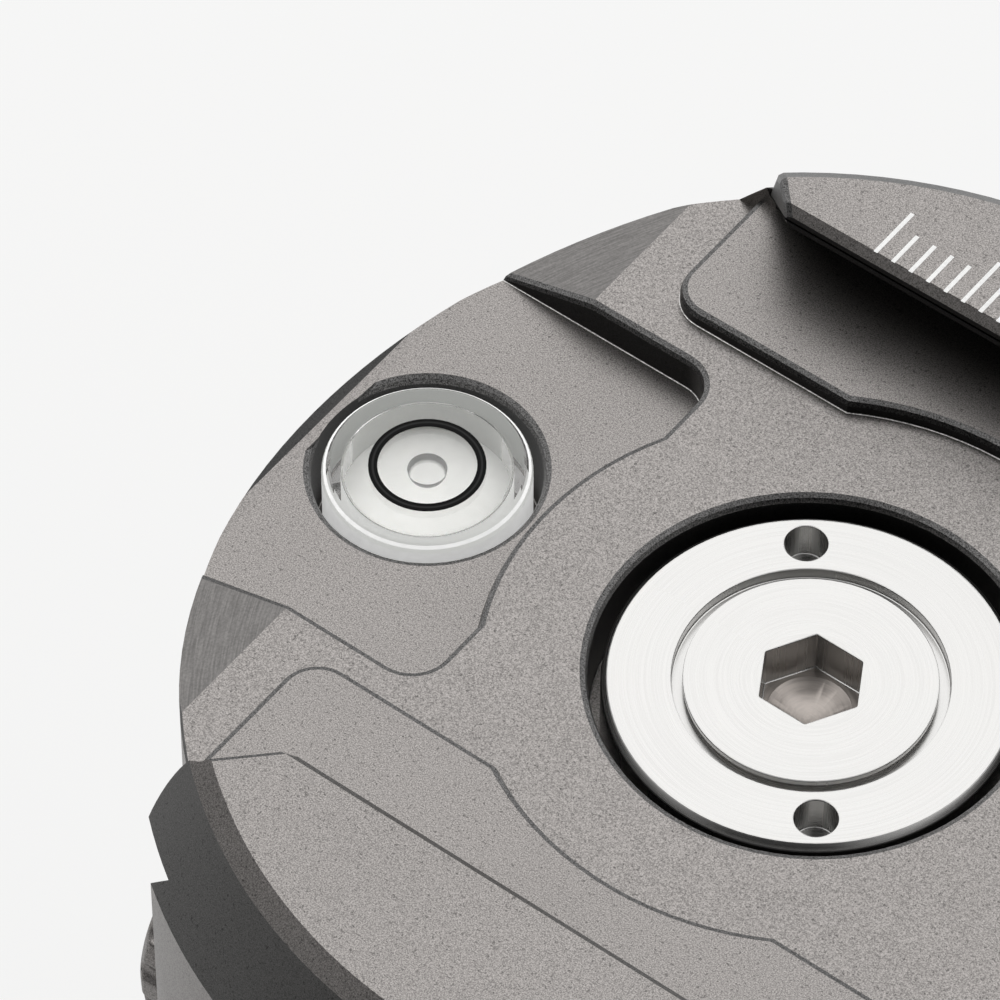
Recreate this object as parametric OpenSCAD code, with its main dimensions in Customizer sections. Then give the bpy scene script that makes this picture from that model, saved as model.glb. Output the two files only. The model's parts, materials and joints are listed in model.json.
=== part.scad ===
// Ball head with a round dovetail quick-release clamp.
// The origin is the centre of the foot's underside and +Z is up. X runs along the clamp's channel.
// The bubble level lies at -X, the fixed jaw at +Y, and the movable jaw with its knob at -Y.

/* [Base] */
// How far the foot stands out beyond the housing
base_step = 0.5; // [0.25:0.25:1]
// Height of the foot
base_h = 12; // [11:0.5:16]
// Bevel on the foot's and housing's edges
edge = 0.8; // [0.4:0.1:1.2]
// Diameter of the spigot that the housing turns on
spigot_d = 20; // [18:0.5:22]
// Tripod bush: outer diameter
bush_d = 15; // [13:0.5:16]
// Tripod bush: length
bush_l = 10; // [8:0.5:10.5]
// Tripod bush: flange diameter
bush_flange_d = 18; // [17:0.5:21]
// Tripod bush: flange thickness
bush_flange_t = 1.5; // [1:0.1:2]
// Tripod thread: diameter of its wall (minor diameter)
thread_d = 7.94; // [5:0.02:8.5]
// Relief groove in the foot's underside: inner diameter
relief_in_d = 26; // [24:0.5:30]
// Relief groove in the foot's underside: distance from the foot's edge
relief_rim = 5; // [3.5:0.5:8]
// Relief groove: depth
relief_t = 0.6; // [0.3:0.1:1]
// Friction washer: inner diameter
washer_in_d = 23; // [22.5:0.5:26]
// Friction washer: distance from the foot's edge
washer_rim = 2.5; // [2.3:0.1:5]
// Friction washer: thickness
washer_t = 0.9; // [0.5:0.1:1.5]
// Retainer disc: diameter
retainer_d = 28; // [25:0.5:30]
// Retainer disc: thickness
retainer_t = 2; // [1.8:0.1:3]
// Retainer screws: pitch circle diameter
retainer_pcd = 12; // [11:0.5:13]
// Retainer screws: number
retainer_count = 3; // [3:1:4]

/* [Housing] */
// Thickness of the housing's wall round the ball
housing_wall = 5.5; // [5.25:0.25:6]
// How far the rim above the ball is set in from the housing
rim_step = 3.5; // [2:0.25:4.5]
// Height of the rim above the ball's centre
rim_over = 9; // [8:0.25:10]
// Height of the sloping shoulder below the rim
shoulder_h = 8; // [5:0.5:10]
// Thickness of the housing's skirt round the floor disc
skirt = 1.3; // [1.2:0.1:1.7]
// Floor disc: thickness
floor_t = 6; // [5.6:0.1:8]
// Distance of the floor screws outside the ball
floor_screw_out = 2; // [1.7:0.1:2.2]
// Floor screws: number
floor_count = 4; // [4:4:4]
// Drop notch: width
notch_w = 14.4; // [14:0.1:16]

/* [Ball and stem] */
// Diameter of the ball
ball_d = 38; // [36:0.5:38]
// Diameter of the stem
stem_d = 13; // [11:0.5:13.4]
// Diameter of the stem's flange under the clamp
stem_flange_d = 22; // [18:0.5:26]
// Height of the flare from stem to flange
stem_flare_h = 4.5; // [3:0.5:6]
// Distance from the ball's centre to the clamp's underside
stem_reach = 29; // [28.5:0.25:34]
// Diameter of the stem's journal in the clamp
journal_d = 14; // [12:0.5:14]

/* [Ball lock] */
// Plunger and spindle diameter
plunger_d = 8; // [6.5:0.5:8]
// Length of the plunger's slope
wedge_run = 6; // [4:0.5:7]
// Rise of the plunger's slope
wedge_rise = 3.5; // [2:0.1:4]
// Gap from the spigot's axis to the plunger's tip
plunger_tip = 1; // [0.5:0.1:2]
// Distance of the plunger's outer end inside the ball's radius
plunger_inset = 0.5; // [0.5:0.5:4]
// Thickness of the seat under the ball
seat_t = 2.1; // [1.8:0.1:4]
// Distance from the ball's centre down to the seat's top edge
seat_drop = 10.5; // [9:0.5:13]
// Diameter of the boss under the seat
seat_boss_d = 12; // [10:0.5:14]
// Lock bush: outer diameter
lock_bush_d = 13; // [11:0.5:14]
// Boss for the main knob: diameter
lock_boss_d = 18; // [16:0.5:20]
// Boss for the main knob: height over the housing
lock_boss_h = 2; // [1.5:0.25:4]
// Main knob: diameter
lock_knob_d = 30; // [26:0.5:32]
// Main knob: length
lock_knob_l = 19; // [15:0.5:24]

/* [Friction and pan lock] */
// Spindle and pad diameter
pad_d = 5; // [4:0.25:5]
// Drop of the friction screw below the ball's centre
friction_drop = 6; // [5:0.25:7]
// Length of the friction pad beyond the ball
friction_pad_out = 2.5; // [1:0.25:3.5]
// Friction knob: diameter
friction_knob_d = 15; // [12:0.5:16]
// Friction knob: length
friction_knob_l = 11; // [9:0.5:12]
// Length from the axis to the pan pad's outer end
pan_pad_end = 16; // [14:0.25:20]
// Pan lock knob: diameter
pan_knob_d = 18; // [14:0.5:20]
// Pan lock knob: length
pan_knob_l = 13; // [10:0.5:16]

/* [Clamp body] */
// Outer diameter of the clamp
clamp_d = 57.7; // [56.5:0.1:60]
// Thickness from the clamp's underside to the channel floor
clamp_t = 12; // [11.5:0.25:15]
// Height of the pads above the floor
pad_h = 0.83; // [0.5:0.01:1.2]
// Width of the pads in front of the fixed jaw's lip
pad_w = 4.68; // [4:0.02:5]
// Half length of the pads along the channel
pad_x = 18.53; // [17.5:0.01:19.5]
// Corner radius of the pads
pad_corner = 2; // [1:0.1:3]
// Diameter of the round landing round the disc
landing_d = 31; // [29:0.1:32]
// Length of the end slopes up to the clamp's edge
slope_run = 7.55; // [6:0.05:8]
// Angle of the end slopes
slope_angle = 18; // [10:1:22]
// Depth of the level's pocket below the floor
pocket_depth = 1.97; // [1.5:0.01:2.3]
// Half width of the pocket
pocket_y = 11.4; // [10:0.1:12.5]
// Reach of the pocket inwards from the level's centre
pocket_reach = 8.44; // [7.4:0.02:9]
// Corner radius of the pocket
pocket_corner = 1.8; // [1:0.1:3]

/* [Jaws] */
// Width of the fixed jaw, from its lip to the clamp's edge
fixed_jaw_w = 10.75; // [10.3:0.05:11.3]
// Width of the movable jaw, from its lip to the clamp's edge
near_jaw_w = 11.75; // [11.3:0.05:12]
// Depth of the undercut below a lip
undercut = 2.9; // [2.4:0.05:3.1]
// Height of the jaws above the pads
jaw_h = 4.46; // [4.2:0.02:5.5]
// Height of the upright land on the lip
jaw_land = 0.75; // [0.4:0.05:1]
// Bevel along the lip's top edge
lip_bevel = 0.4; // [0.1:0.05:0.5]
// Half length of the fixed jaw's lip
lip_x = 14.95; // [12:0.05:15.2]
// Half length of the movable jaw's lip
near_lip_x = 13.5; // [12:0.1:15]
// Distance of the jaws' top edge from the clamp's edge
jaw_top_in = 3.45; // [2.5:0.05:4.2]
// Facet along the jaws' top edge: width
facet_w = 0.9; // [0.5:0.05:1.2]
// Facet along the jaws' top edge: height
facet_h = 0.7; // [0.4:0.05:1]
// Drop from the floor to where the jaws' outer slope starts
flank_drop = 0.2; // [0:0.05:1]
// Half length of the movable jaw
jaw_x = 18.3; // [17.8:0.1:19]
// Corner radius of the movable jaw's ends
jaw_corner = 1.7; // [1:0.1:1.8]
// Width of the movable jaw's foot, up to the clamp's edge
foot_w = 5.15; // [4.85:0.05:5.65]
// How far the movable jaw stands open
jaw_open = 3.8; // [2.5:0.1:4]
// Height of the clamp screw above the clamp's underside
screw_z = 4.5; // [4.2:0.1:4.8]

/* [Disc and screw] */
// Diameter of the stainless disc
disc_d = 19.25; // [18:0.05:19.5]
// Thickness of the disc
disc_t = 3.4; // [3.3:0.1:4]
// Drop of the disc's top below the floor
disc_drop = 0.49; // [0.2:0.01:0.8]
// Diameter of the recess for the disc
recess_d = 20.45; // [20:0.05:21]
// Spanner holes: diameter
spanner_d = 2.04; // [1.5:0.02:2.4]
// Spanner holes: pitch circle diameter
spanner_pcd = 15.84; // [15.4:0.02:16]
// Spanner holes: depth
spanner_t = 2; // [1:0.1:2.6]
// Direction of the spanner holes, from +X
spanner_angle = 127.8; // [0:0.1:180]
// Stem screw: head diameter
head_d = 11.75; // [11:0.05:12]
// Stem screw: shank diameter
shank_d = 6; // [5:0.25:6.25]
// Stem screw: length with its head
shank_l = 17; // [14:0.5:20]
// Diameter of the groove round the screw's head
head_groove_d = 12.8; // [12.4:0.05:13]
// Depth of the groove round the screw's head
head_groove_t = 0.6; // [0.4:0.05:0.9]
// Hex socket: size across the flats
hex_af = 4.5; // [4:0.05:5]
// Hex socket: depth
hex_t = 2.4; // [1.5:0.1:2.6]

/* [Bubble level] */
// Distance of the level from the clamp's edge
level_in = 6.61; // [6.45:0.01:7.2]
// Diameter of the hole for the level
level_hole_d = 10.96; // [10.5:0.02:11.2]
// Diameter of the vial
vial_d = 9.97; // [9.5:0.01:10.2]
// Height of the vial
vial_h = 5.2; // [4:0.1:6]
// Thickness of the vial's wall
vial_wall = 0.9; // [0.6:0.05:1.2]
// Thickness of the vial's top
vial_top = 0.4; // [0.3:0.05:0.8]
// Height of the vial's top over the pocket
vial_rise = 0.25; // [0:0.05:0.5]
// Ring on the vial: inner diameter
ring_in_d = 4.7; // [4:0.1:5]
// Ring on the vial: outer diameter
ring_out_d = 5.56; // [5.3:0.02:6]
// Diameter of the bubble
bubble_d = 1.9; // [1.5:0.1:3]

/* [Clamp knob] */
// Diameter of the clamp screw
clamp_screw_d = 6; // [5:0.5:6]
// Clamp knob: diameter
clamp_knob_d = 15; // [12:0.5:15]
// Clamp knob: length
clamp_knob_l = 17; // [13:0.5:20]
// Washer under the knob: thickness
knob_washer_t = 0.8; // [0.5:0.1:1.5]
// Spot face on the jaw: diameter
spot_d = 16; // [15.5:0.5:17]
// Depth of the flat under the clamp knob, from the clamp's edge
spot_in = 0.75; // [0.35:0.05:1.25]
// Guide pins: diameter
pin_d = 4; // [3:0.25:4]
// Guide pins: distance from the clamp's middle
pin_x = 10; // [9.5:0.1:12]
// Guide pins: inner end, from the axis, with the jaw closed
pin_in = 8.4; // [8:0.2:10]
// Guide pins: depth in the movable jaw
pin_depth = 1.8; // [1.2:0.1:2]
// Springs: wire diameter
spring_wire = 0.6; // [0.4:0.05:0.7]
// Springs: middle diameter of the coil
spring_d = 5.2; // [5:0.1:5.4]
// Springs: number of curls
spring_turns = 7; // [5:1:8]
// Spring seats in the body: bottom, from the axis
spring_seat = 15.5; // [14.5:0.25:16]

/* [Fits] */
// Running clearance between turning and sliding pieces, all round
run_gap = 0.05; // [0.03:0.01:0.1]
// Clearance of pieces that are pressed or screwed into each other, all round
press_gap = 0.02; // [0.01:0.01:0.04]
// Running clearance between flat faces
face_gap = 0.1; // [0.05:0.05:0.3]
// Clearance between the ball and what holds it
ball_gap = 0.12; // [0.1:0.01:0.2]
// Clearance between pieces that never touch
free_gap = 0.4; // [0.3:0.05:0.6]

/* [Hidden] */
$fn = 96;
over = 1;
web = 1;
small_bevel = 0.3;

// Sizes across that follow the ball
ball_r = ball_d / 2;
housing_d = ball_d + 2 * housing_wall;
base_d = housing_d + 2 * base_step;
rim_d = housing_d - 2 * rim_step;
floor_d = housing_d - 2 * skirt;
floor_pcd = ball_d + 2 * floor_screw_out;
relief_out_d = base_d - 2 * relief_rim;
washer_out_d = base_d - 2 * washer_rim;
plunger_end = ball_r - plunger_inset;
lock_face = housing_d / 2 + lock_boss_h;
friction_pad_end = ball_r + friction_pad_out;

// Heights from the foot up
housing_z = base_h + washer_t + face_gap;
floor_top = housing_z + floor_t;
spigot_top = floor_top + face_gap;
retainer_top = spigot_top + retainer_t;
cavity_top = retainer_top + free_gap;
lock_z = cavity_top + free_gap + plunger_d / 2;
block_top = lock_z + plunger_d / 2 + free_gap / 2;
lock_travel = 0.625;
wedge_slope = wedge_rise / wedge_run;
seat_z = block_top + lock_travel * wedge_slope + free_gap;
ball_z = seat_z + seat_t + ball_r;
rim_z = ball_z + rim_over;
socket_r = ball_r + ball_gap;
clamp_z = ball_z + stem_reach;
floor_z = clamp_z + clamp_t;
pad_z = floor_z + pad_h;
pocket_z = floor_z - pocket_depth;
jaw_z = pad_z + jaw_h;
disc_z = floor_z - disc_drop;
recess_z = disc_z - disc_t - face_gap;
vial_z = pocket_z + vial_rise - vial_h;
guide_z = clamp_z + screw_z;
friction_z = ball_z - friction_drop;
pan_z = housing_z + floor_t / 2;

// Small fasteners
retainer_screw_d = 3;
retainer_screw_l = 8;
floor_screw_d = 2.5;
floor_screw_head = 3.8;
floor_screw_head_t = 2;
floor_screw_l = 11;
small_hex_r = 1.1;
small_hex_t = 1.1;
hex_point_share = 0.22;

// Knobs
knob_gap = 0.6;
knob_flange = 2.4;
knob_grip_t = 2;
knob_bevel = 0.6;
knob_inset = 0.4;
knob_neck = 2;
knob_neck_share = 0.62;
knob_face_share = 0.55;
knob_dish = 0.5;
cap_t = 1.4;
cap_bevel = 0.4;
cap_dish = 0.3;
groove_share = 0.55;
lock_ribs = 24;
clamp_ribs = 18;
friction_flutes = 18;
pan_flutes = 22;
lock_knob_y = lock_face + knob_gap;
friction_knob_x = housing_d / 2 + knob_gap;
pan_knob_y = base_d / 2 + knob_gap;
clamp_r = clamp_d / 2;
jaw_top_r = clamp_r - jaw_top_in;
lip_y = clamp_r - fixed_jaw_w;
near_lip_y = clamp_r - near_jaw_w;
foot_y = clamp_r - foot_w;
pad_y = lip_y - pad_w;
slope_x = clamp_r - slope_run;
level_x = clamp_r - level_in;
pocket_x = level_x - pocket_reach;
cut_y = foot_y - free_gap;
foot_rest = foot_y + jaw_open;
pin_out = foot_rest + pin_depth;
washer_y = clamp_r - spot_in + jaw_open;
clamp_knob_y = washer_y + knob_washer_t;
screw_bore_end = journal_d / 2 + run_gap + web;
clamp_screw_end = screw_bore_end + jaw_open + free_gap;

// Finishes
grey = [0.56, 0.55, 0.53];
dark = [0.22, 0.22, 0.22];
steel = [0.75, 0.75, 0.74];
brass = [0.78, 0.63, 0.33];
rubber = [0.08, 0.08, 0.08];
plastic = [0.85, 0.84, 0.8];

// Shared shapes

module turned(points) rotate_extrude() polygon(points);

module ring(out_r, in_r, h) {
    difference() {
        cylinder(r = out_r, h = h);
        translate([0, 0, -over]) cylinder(r = in_r, h = h + 2 * over);
    }
}

// A profile in Y and Z, drawn out along X
module along_x(length) rotate([90, 0, 90]) linear_extrude(length, center = true) children();

// A profile in X and Z, drawn out along Y
module along_y(length) rotate([90, 0, 0]) linear_extrude(length, center = true) children();

// Each of these turns +Z to the way a screw leaves, from the axis at its height
module to_lock() translate([0, 0, lock_z]) rotate([90, 0, 0]) children();
module to_friction() translate([0, 0, friction_z]) rotate([0, -90, 0]) children();
module to_pan_lock() translate([0, 0, pan_z]) rotate([-90, 0, 0]) children();
module to_clamp_screw() translate([0, 0, guide_z]) rotate([90, 0, 0]) children();

module round_the_axis(count, pcd, start = 0) {
    for (i = [0 : count - 1]) rotate(start + 360 * i / count) translate([pcd / 2, 0, 0]) children();
}

// Rod from one distance to another along +Z
module rod(d, from, to) translate([0, 0, from]) cylinder(d = d, h = to - from);

// Radius of the grooves that leave a knob's ribs, which are cut round its rim
function groove_r(r, count) = PI * r / count * groove_share;

// Knob with a ribbed rubber ring: its core, ring and end cap, standing on z = 0
function cap_d(d) = d - 2 * knob_grip_t - 2 * web;
function cored_bore(l) = l - cap_t - web;

module knob_core(d, l, bore_d) {
    r = d / 2 - knob_inset;
    barrel_r = d / 2 - knob_grip_t;
    b = knob_bevel;
    difference() {
        turned([[0, 0], [barrel_r - b, 0], [r, knob_flange - b], [r, knob_flange],
            [barrel_r, knob_flange], [barrel_r, l - knob_flange], [r, l - knob_flange],
            [r, l - b], [r - b, l], [0, l]]);
        rod(bore_d + 2 * press_gap, -over, cored_bore(l));
        rod(cap_d(d) + 2 * press_gap, l - cap_t, l + over);
    }
}

module knob_grip(d, l, ribs) {
    r = d / 2;
    g = groove_r(r, ribs);
    difference() {
        translate([0, 0, knob_flange + press_gap])
            ring(r, r - knob_grip_t + press_gap, l - 2 * knob_flange - 2 * press_gap);
        round_the_axis(ribs, d + g) rod(2 * g, 0, l);
    }
}

module knob_cap(d, l) {
    r = cap_d(d) / 2;
    translate([0, 0, l - cap_t])
        turned([[0, 0], [r, 0], [r, cap_t - cap_bevel], [r - cap_bevel, cap_t], [0, cap_t - cap_dish]]);
}

// Small fluted metal knob, standing on z = 0
function fluted_bore(l) = l - knob_dish - web;

module fluted_knob(d, l, bore_d, flutes) {
    r = d / 2;
    neck_r = r * knob_neck_share;
    face_r = r * knob_face_share;
    g = groove_r(r, flutes);
    b = knob_bevel;
    difference() {
        turned([[0, 0], [neck_r, 0], [neck_r, knob_neck], [r - b, knob_neck], [r, knob_neck + b],
            [r, l - b], [r - b, l], [face_r, l], [face_r - knob_dish, l - knob_dish], [0, l - knob_dish]]);
        rod(bore_d + 2 * press_gap, -over, fluted_bore(l));
        round_the_axis(flutes, d + g) rod(2 * g, knob_neck - over, l + over);
    }
}

// Base

module base_plate() {
    r = base_d / 2;
    color(grey) difference() {
        turned([[0, 0], [r - edge, 0], [r, edge], [r, base_h - edge], [r - edge, base_h],
            [spigot_d / 2, base_h], [spigot_d / 2, spigot_top], [0, spigot_top]]);
        rod(bush_d + 2 * press_gap, -over, bush_l);
        rod(bush_flange_d + 2 * press_gap, -over, bush_flange_t);
        translate([0, 0, -over]) ring(relief_out_d / 2, relief_in_d / 2, over + relief_t);
        round_the_axis(retainer_count, retainer_pcd)
            rod(retainer_screw_d + 2 * press_gap, retainer_top - retainer_screw_l, spigot_top + over);
    }
}

module tripod_bushing() {
    color(steel) difference() {
        union() {
            rod(bush_flange_d, 0, bush_flange_t);
            rod(bush_d, 0, bush_l);
        }
        rod(thread_d, -over, bush_l + over);
    }
}

module pan_washer() {
    color(plastic) translate([0, 0, base_h]) ring(washer_out_d / 2, washer_in_d / 2, washer_t);
}

// Countersunk head and shank of a retainer screw, with its top at z = 0
module retainer_screw(gap) {
    r = retainer_screw_d / 2 + gap;
    turned([[0, -retainer_screw_l], [r, -retainer_screw_l], [r, -r], [2 * r, 0], [0, 0]]);
}

module pan_retainer() {
    color(steel) difference() {
        rod(retainer_d, spigot_top, retainer_top);
        translate([0, 0, retainer_top]) round_the_axis(retainer_count, retainer_pcd)
            retainer_screw(press_gap);
    }
}

module retainer_screws() {
    color(steel) translate([0, 0, retainer_top]) round_the_axis(retainer_count, retainer_pcd) difference() {
        retainer_screw(0);
        translate([0, 0, -small_hex_t]) cylinder(r = small_hex_r, h = small_hex_t + over, $fn = 6);
    }
}

// Housing

module housing_outside() {
    r = housing_d / 2;
    turned([[0, housing_z], [r - edge, housing_z], [r, housing_z + edge], [r, rim_z - shoulder_h],
        [rim_d / 2, rim_z], [0, rim_z]]);
}

module drop_notch() {
    reach = housing_d / 2 + over;
    translate([0, 0, ball_z]) {
        rotate([0, 90, 0]) cylinder(d = notch_w, h = reach);
        translate([0, -notch_w / 2, 0]) cube([reach, notch_w, rim_over + over]);
    }
}

module housing() {
    color(grey) difference() {
        union() {
            housing_outside();
            to_lock() rod(lock_boss_d, 0, lock_face);
        }
        rod(floor_d + 2 * press_gap, housing_z - over, floor_top);
        rod(2 * socket_r, floor_top - over, ball_z);
        translate([0, 0, ball_z]) sphere(r = socket_r);
        drop_notch();
        to_lock() rod(lock_bush_d + 2 * press_gap, 0, lock_face + over);
        to_friction() rod(pad_d + 2 * run_gap, 0, housing_d / 2 + over);
        to_pan_lock() rod(pad_d + 2 * run_gap, 0, housing_d / 2 + over);
        at_floor_screws() rod(floor_screw_d + 2 * press_gap, 0, floor_screw_l + free_gap);
    }
}

// Places of the floor screws, at their heads' outer faces
module at_floor_screws() {
    translate([0, 0, housing_z + free_gap]) round_the_axis(floor_count, floor_pcd, 45) children();
}

module housing_floor() {
    color(grey) difference() {
        rod(floor_d, housing_z, floor_top);
        rod(spigot_d + 2 * run_gap, housing_z - over, floor_top + over);
        to_pan_lock() rod(pad_d + 2 * run_gap, 0, floor_d / 2 + over);
        at_floor_screws() {
            rod(floor_screw_head + 2 * press_gap, -over, floor_screw_head_t);
            rod(floor_screw_d + 2 * press_gap, 0, floor_t + over);
        }
    }
}

module floor_screws() {
    color(steel) at_floor_screws() difference() {
        union() {
            rod(floor_screw_head, 0, floor_screw_head_t);
            rod(floor_screw_d, 0, floor_screw_l);
        }
        translate([0, 0, -over]) cylinder(r = small_hex_r, h = over + small_hex_t, $fn = 6);
    }
}

module lock_block() {
    color(grey) difference() {
        rod(2 * (socket_r - press_gap), floor_top, block_top);
        rod(retainer_d + 2 * free_gap, floor_top - over, cavity_top);
        rod(seat_boss_d + 2 * run_gap, floor_top, block_top + over);
        to_lock() rod(plunger_d + 2 * run_gap, 0, socket_r + over);
    }
}

module lock_bushing() {
    color(brass) to_lock() difference() {
        rod(lock_bush_d, socket_r + free_gap, lock_face);
        rod(plunger_d + 2 * run_gap, 0, lock_face + over);
    }
}

// Ball lock

// Everything above the plunger's slope, lifted by a gap
module above_the_slope(gap) {
    y0 = -plunger_tip - wedge_run;
    y1 = seat_boss_d;
    z0 = lock_z + plunger_d / 2 + gap;
    z1 = z0 - (y1 - y0) * wedge_slope;
    along_x(2 * seat_boss_d) polygon([[y0, z0], [y1, z1], [y1, z0 + seat_boss_d], [y0, z0 + seat_boss_d]]);
}

module lock_plunger() {
    color(steel) difference() {
        to_lock() rod(plunger_d, plunger_tip, plunger_end);
        above_the_slope(0);
    }
}

module ball_seat() {
    color(brass) difference() {
        union() {
            rod(2 * (socket_r - run_gap), seat_z, ball_z - seat_drop);
            intersection() {
                rod(seat_boss_d, lock_z - plunger_d / 4, seat_z + seat_t / 2);
                above_the_slope(face_gap);
            }
        }
        translate([0, 0, ball_z]) sphere(r = socket_r);
    }
}

module lock_spindle() {
    color(steel) to_lock() rod(plunger_d, plunger_end + face_gap, lock_knob_y + cored_bore(lock_knob_l));
}

module at_lock_knob() to_lock() translate([0, 0, lock_knob_y]) children();

module lock_knob_core() {
    color(grey) at_lock_knob() knob_core(lock_knob_d, lock_knob_l, plunger_d);
}

module lock_knob_grip() {
    color(rubber) at_lock_knob() knob_grip(lock_knob_d, lock_knob_l, lock_ribs);
}

module lock_knob_cap() {
    color(grey) at_lock_knob() knob_cap(lock_knob_d, lock_knob_l);
}

// Friction and pan lock

module friction_pad() {
    color(plastic) difference() {
        to_friction() rod(pad_d, socket_r / 2, friction_pad_end);
        translate([0, 0, ball_z]) sphere(r = socket_r);
    }
}

module friction_spindle() {
    color(steel) to_friction()
        rod(pad_d, friction_pad_end + face_gap, friction_knob_x + fluted_bore(friction_knob_l));
}

module friction_knob() {
    color(grey) to_friction() translate([0, 0, friction_knob_x])
        fluted_knob(friction_knob_d, friction_knob_l, pad_d, friction_flutes);
}

module pan_lock_pad() {
    color(brass) difference() {
        to_pan_lock() rod(pad_d, 0, pan_pad_end);
        rod(spigot_d + 2 * face_gap, housing_z - over, floor_top + over);
    }
}

module pan_lock_spindle() {
    color(steel) to_pan_lock() rod(pad_d, pan_pad_end + face_gap, pan_knob_y + fluted_bore(pan_knob_l));
}

module pan_lock_knob() {
    color(grey) to_pan_lock() translate([0, 0, pan_knob_y])
        fluted_knob(pan_knob_d, pan_knob_l, pad_d, pan_flutes);
}

// Ball, stem, disc and screw

module ball() {
    r = stem_d / 2;
    flange_z = clamp_z - face_gap;
    top_z = disc_z - disc_t;
    color(dark) difference() {
        union() {
            translate([0, 0, ball_z]) sphere(r = ball_r);
            turned([[0, ball_z], [r, ball_z], [r, flange_z - stem_flare_h],
                [stem_flange_d / 2, flange_z - edge], [stem_flange_d / 2, flange_z],
                [journal_d / 2, flange_z], [journal_d / 2, top_z], [0, top_z]]);
        }
        rod(shank_d + 2 * press_gap, disc_z - shank_l - free_gap, top_z + over);
    }
}

module retaining_disc() {
    r = disc_d / 2;
    b = small_bevel;
    seat_r = head_d / 2 + b + press_gap;
    color(steel) translate([0, 0, disc_z]) difference() {
        turned([[0, -disc_t], [r, -disc_t], [r, -b], [r - b, 0], [0, 0]]);
        rod(shank_d + 2 * press_gap, -disc_t - over, over);
        rod(head_groove_d, -head_groove_t, over);
        turned([[0, -seat_r], [seat_r, 0], [0, 0]]);
        round_the_axis(2, spanner_pcd, spanner_angle) rod(spanner_d, -spanner_t, over);
    }
}

module stem_screw() {
    r = head_d / 2;
    s = shank_d / 2;
    b = small_bevel;
    hex_r = hex_af / 2 / cos(30);
    hex_point = hex_af * hex_point_share;
    color(steel) translate([0, 0, disc_z]) difference() {
        turned([[0, -shank_l], [s - b, -shank_l], [s, b - shank_l], [s, s - r - b], [r, -b], [r, 0], [0, 0]]);
        translate([0, 0, -hex_t]) cylinder(r = hex_r, h = hex_t + over, $fn = 6);
        turned([[0, -hex_t - hex_point], [2 * hex_point, -hex_t], [0, hex_point - hex_t]]);
    }
}

// Clamp

// Outer shape that the body and both jaws are turned to
module clamp_outside() {
    turned([[0, clamp_z], [clamp_r - edge, clamp_z], [clamp_r, clamp_z + edge],
        [clamp_r, floor_z - flank_drop], [jaw_top_r + facet_w, jaw_z - facet_h],
        [jaw_top_r, jaw_z], [0, jaw_z]]);
}

// Outline of one pad, with round inner corners
module pad_outline() {
    c = pad_corner;
    translate([c - pad_x, pad_y]) square([2 * (pad_x - c), clamp_r]);
    translate([-pad_x, pad_y + c]) square([2 * pad_x, clamp_r]);
    for (side = [-1, 1]) translate([side * (pad_x - c), pad_y + c]) circle(r = c);
}

// Outline of a jaw from above: its lip, with corners cut at 45 degrees down to the root
module jaw_outline(lip, half) {
    root = lip + undercut;
    polygon([[-half, lip], [half, lip], [half + undercut, root], [clamp_r, root], [clamp_r, clamp_d],
        [-clamp_r, clamp_d], [-clamp_r, root], [-half - undercut, root]]);
}

// A jaw's blank at +Y: dovetail profile along X, cut to its outline
module jaw_blank(lip, half) {
    root = lip + undercut;
    land_z = jaw_z - lip_bevel - jaw_land;
    intersection() {
        along_x(clamp_d) polygon([[root, clamp_z], [root, land_z - undercut], [lip, land_z],
            [lip, jaw_z - lip_bevel], [lip + lip_bevel, jaw_z], [clamp_r, jaw_z], [clamp_r, clamp_z]]);
        translate([0, 0, clamp_z - over]) linear_extrude(jaw_z - clamp_z + 2 * over) jaw_outline(lip, half);
    }
}

// Outline that rounds the movable jaw's ends
module jaw_ends(root) {
    c = jaw_corner;
    translate([c - jaw_x, 0]) square([2 * (jaw_x - c), clamp_d]);
    translate([-jaw_x, root + c]) square([2 * jaw_x, clamp_d]);
    for (side = [-1, 1]) translate([side * (jaw_x - c), root + c]) circle(r = c);
}

// Pocket for the level, open to the rim, round the landing
module pocket() {
    c = pocket_corner;
    x0 = -clamp_r - over;
    translate([0, 0, pocket_z]) linear_extrude(jaw_z - pocket_z) difference() {
        union() {
            translate([x0, -pocket_y]) square([-pocket_x - c - x0, 2 * pocket_y]);
            translate([x0, c - pocket_y]) square([-pocket_x - x0, 2 * (pocket_y - c)]);
            for (side = [-1, 1]) translate([-pocket_x - c, side * (pocket_y - c)]) circle(r = c);
        }
        circle(d = landing_d);
    }
}

// Slopes at both ends of the channel
module end_slopes() {
    far = clamp_r + over;
    fall = (far - slope_x) * tan(slope_angle);
    for (turn = [0, 180]) rotate(turn) along_y(2 * far)
        polygon([[slope_x, floor_z], [far, floor_z - fall], [far, jaw_z], [slope_x, jaw_z]]);
}

module at_pins() {
    for (side = [-1, 1]) translate([side * pin_x, 0, 0]) to_clamp_screw() children();
}

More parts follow.
